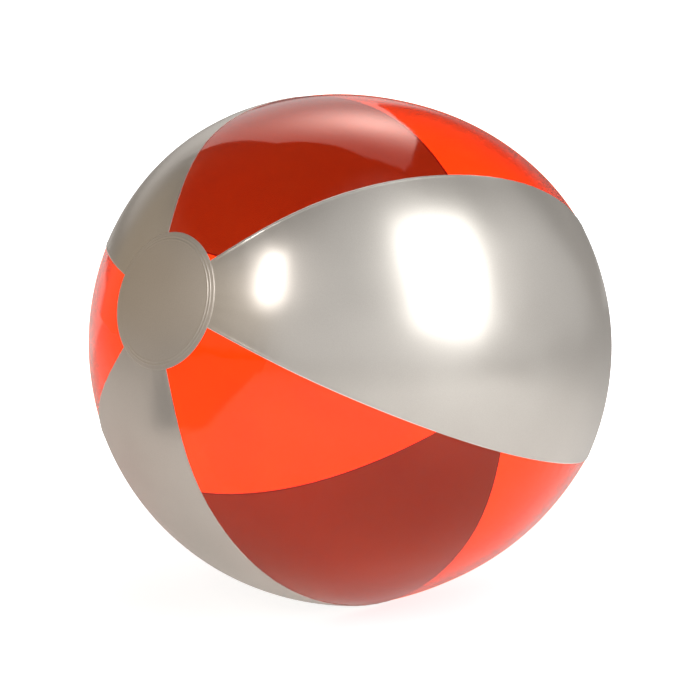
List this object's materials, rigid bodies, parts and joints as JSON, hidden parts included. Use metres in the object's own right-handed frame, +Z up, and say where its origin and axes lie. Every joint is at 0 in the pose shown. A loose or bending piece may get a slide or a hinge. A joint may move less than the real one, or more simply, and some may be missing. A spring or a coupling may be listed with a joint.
{
  "type": "inflatable beach ball",
  "caption": "Blown-up beach ball of silver and see-through orange film panels, with a disc at each pole and a push-in stopper valve.",
  "frame": {"origin": "the ball's centre", "axes": "+Z up as the ball lies on level ground; the front pole disc faces -Y and is tipped 15 degrees upwards, so the polar axis runs along (0, -0.966, 0.259)"},
  "size_m": [0.2803, 0.2816, 0.2791],
  "materials": {
    "silver_film": "satin",
    "orange_film": "gloss",
    "disc_film": "satin",
    "valve_pvc": "satin"
  },
  "bodies": {
    "ball": {"gore_silver_upper_left": "silver_film", "gore_orange_left": "orange_film", "gore_silver_lower": "silver_film", "gore_orange_lower_right": "orange_film", "gore_silver_right": "silver_film", "gore_orange_top": "orange_film", "pole_disc_front": "disc_film", "pole_disc_rear": "disc_film", "valve_flange": "valve_pvc", "valve_neck": "valve_pvc"},
    "stem": {"valve_stem": "valve_pvc"},
    "plug": {"valve_plug": "valve_pvc", "plug_strap": "valve_pvc"},
    "flap": {"check_flap": "valve_pvc"}
  },
  "joints": [
    {"name": "valve_slide", "type": "slide", "parent": "ball", "child": "stem", "axis": [0.5621, 0.8208, -0.1016], "range_m": [0, 0.012], "deforming": ["valve_neck"]},
    {"name": "plug_swing", "type": "hinge", "parent": "stem", "child": "plug", "pos_m": [0.08256, 0.1108, -0.0123], "axis": [0.1994, -0.2536, -0.9465], "range_deg": [0, 100], "deforming": ["plug_strap"]},
    {"name": "flap_swing", "type": "hinge", "parent": "stem", "child": "flap", "pos_m": [0.07253, 0.09885, -0.01121], "axis": [-0.1994, 0.2536, 0.9465], "range_deg": [0, 60]}
  ]
}
